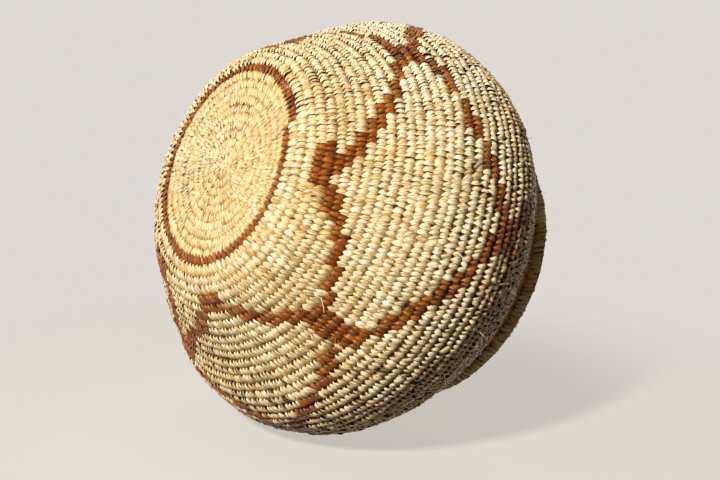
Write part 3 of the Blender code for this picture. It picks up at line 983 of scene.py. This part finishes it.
def add_floor(name, middle, up, reach, colour):
    """A round one-sided floor, seen from the side that up points to."""
    mesh = bpy.data.meshes.new(name)
    corners = [(reach * math.cos(a), reach * math.sin(a), 0.0)
               for a in np.linspace(0, 2 * math.pi, FLOOR_CORNERS, endpoint=False)]
    mesh.from_pydata(corners, [], [list(range(FLOOR_CORNERS))])
    floor_material(name, colour, reach)
    mesh.materials.append(bpy.data.materials[name])
    floor = bpy.data.objects.new(name, mesh)
    floor.matrix_world = Matrix.Translation(middle) @ up.to_track_quat("Z", "Y").to_matrix().to_4x4()
    bpy.context.collection.objects.link(floor)
    floor.visible_diffuse = floor.visible_glossy = False
    floor.visible_transmission = floor.visible_shadow = False


def add_lamp(name, direction, distance, width, power, colour):
    """A soft square lamp that shines on the middle of the basket."""
    lamp = bpy.data.lights.new(name, "AREA")
    lamp.shape = "SQUARE"
    lamp.size = width
    lamp.energy = power
    lamp.color = colour
    holder = bpy.data.objects.new(name, lamp)
    direction = direction.normalized()
    holder.location = BASKET_MIDDLE + direction * distance
    holder.rotation_euler = direction.to_track_quat("Z", "Y").to_euler()
    bpy.context.collection.objects.link(holder)


class BASKET_OT_stage(bpy.types.Operator):
    """Sets the camera, the plain pale floor and the soft lamps"""
    bl_idname = "basket.stage"
    bl_label = "Stage"

    def execute(self, context):
        scene = context.scene
        colour = tuple(scene.basket_colours.floor)
        camera = bpy.data.cameras.new("camera")
        camera.sensor_width = SENSOR_WIDTH
        camera.lens = EYE_FOCAL_LENGTH
        camera.clip_start, camera.clip_end = 0.01, 20.0
        holder = bpy.data.objects.new("camera", camera)
        turn = Matrix((EYE_RIGHT, EYE_UP, -EYE_AHEAD)).transposed()
        holder.matrix_world = Matrix.Translation(EYE) @ turn.to_4x4()
        context.collection.objects.link(holder)
        scene.camera = holder

        # The floor under its side touches it where that side is lowest in the camera's picture
        tilt = math.radians(FLOOR_TILT)
        up = (EYE_UP * math.cos(tilt) - EYE_AHEAD * math.sin(tilt)).normalized()
        turns = np.linspace(0, COURSE_COUNT + 1, 6000)
        skin = coil_points(turns, 0.0, HALF_THICKNESS)
        lowest = float((skin @ np.array(up)).min())
        touching = BASKET_MIDDLE + up * (lowest - BASKET_MIDDLE.dot(up))
        add_floor("table_floor", touching, up, SIDE_FLOOR_REACH, colour)
        add_floor("shelf_floor", Vector((0.0, 0.0, -SHELF_FLOOR_DROP)), Vector((0.0, 0.0, 1.0)),
                  SHELF_FLOOR_REACH, colour)

        for lamp in LAMPS:
            add_lamp(*lamp)

        world = bpy.data.worlds.new("plain_background")
        scene.world = world
        world.use_nodes = True
        tree = world.node_tree
        tree.nodes.clear()
        light = node(tree, "ShaderNodeBackground",
                     {"Color": (*AROUND_COLOUR, 1), "Strength": AROUND_LIGHT})
        plain = node(tree, "ShaderNodeBackground", {"Color": (*colour, 1), "Strength": 1.0})
        mix = node(tree, "ShaderNodeMixShader", links={"Fac": seen_ray(tree), 1: light.outputs[0],
                                                       2: plain.outputs[0]})
        node(tree, "ShaderNodeOutputWorld", links={"Surface": mix.outputs[0]})
        scene.view_settings.view_transform = "Standard"
        return {"FINISHED"}


# Panel and registration

class BASKET_PT_panel(bpy.types.Panel):
    """Lists the pieces of the basket and its stage"""
    bl_idname = "BASKET_PT_panel"
    bl_label = "Coiled basket"
    bl_space_type = "VIEW_3D"
    bl_region_type = "UI"
    bl_category = "Basket"

    def draw(self, context):
        column = self.layout.column(align=True)
        for group in (context.scene.basket_sewing, context.scene.basket_colours):
            for key in group.bl_rna.properties.keys():
                if key not in {"rna_type", "name"}:
                    column.prop(group, key)
            column.separator()
        for operator in PIECE_OPERATORS:
            column.operator(operator.bl_idname)


PIECE_OPERATORS = (BASKET_OT_start_knot, BASKET_OT_base_courses, BASKET_OT_base_ring,
                   BASKET_OT_wall_courses, BASKET_OT_neck_course, BASKET_OT_rim_courses,
                   BASKET_OT_stage)
CLASSES = (BasketSewing, BasketColours) + PIECE_OPERATORS + (BASKET_PT_panel,)


def register():
    """Makes the settings, the operators and the panel known to Blender."""
    for entry in CLASSES:
        bpy.utils.register_class(entry)
    bpy.types.Scene.basket_sewing = PointerProperty(type=BasketSewing)
    bpy.types.Scene.basket_colours = PointerProperty(type=BasketColours)


def unregister():
    """Takes them out again."""
    del bpy.types.Scene.basket_colours
    del bpy.types.Scene.basket_sewing
    for entry in reversed(CLASSES):
        bpy.utils.unregister_class(entry)


def main():
    """Makes the whole basket and its stage."""
    register()
    bpy.ops.basket.start_knot()
    bpy.ops.basket.base_courses()
    bpy.ops.basket.base_ring()
    bpy.ops.basket.wall_courses()
    bpy.ops.basket.neck_course()
    bpy.ops.basket.rim_courses()
    bpy.ops.basket.stage()


if __name__ == "__main__":
    main()
